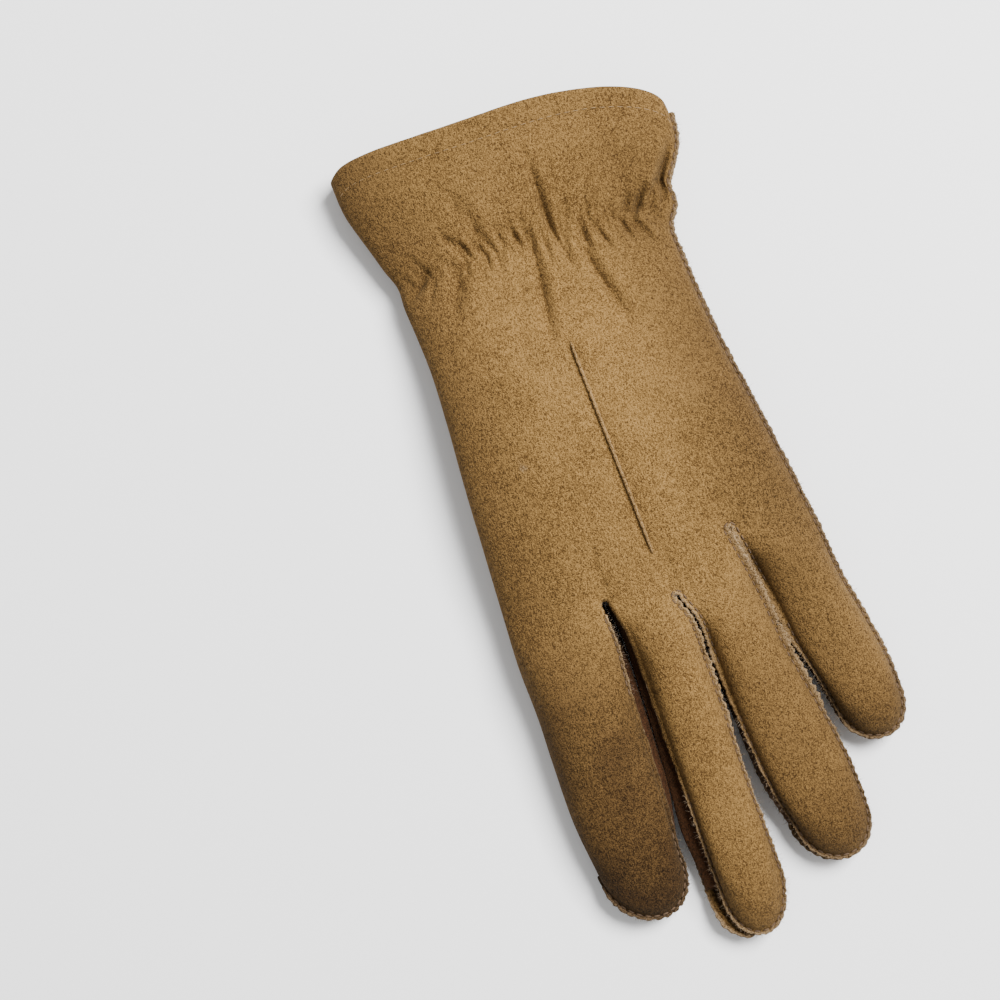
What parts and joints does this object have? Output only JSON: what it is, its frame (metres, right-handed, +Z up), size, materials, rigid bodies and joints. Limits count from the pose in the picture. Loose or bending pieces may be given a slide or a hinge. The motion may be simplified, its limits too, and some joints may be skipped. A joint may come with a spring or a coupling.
{
  "type": "suede dress glove",
  "caption": "Left-hand suede glove lying palm down, with a flared cuff, a gathered wrist, outward-sewn seams, side strips between the fingers and the thumb folded underneath.",
  "frame": {"origin": "on the surface that the glove lies on, below the middle of its bounding box", "axes": "+Y from the fingertips to the cuff, +X from the index finger's folded side to the little finger's sewn side, +Z up out of the back of the hand"},
  "size_m": [0.1154, 0.2499, 0.0248],
  "materials": {
    "suede": "tan suede with a short matt nap, darker towards its edges",
    "suede_side": "the same tan suede, shaded and a little darker between the fingers",
    "raw_edge": "cut edge of the suede, paler and greyer than its face, with loose fibres",
    "thread": "matt brown sewing thread"
  },
  "bodies": {
    "root": {"trank": "suede", "fourchette_index_middle": "suede_side", "fourchette_middle_ring": "suede_side", "fourchette_ring_little": "suede_side", "thumb": "suede"}
  },
  "joints": []
}
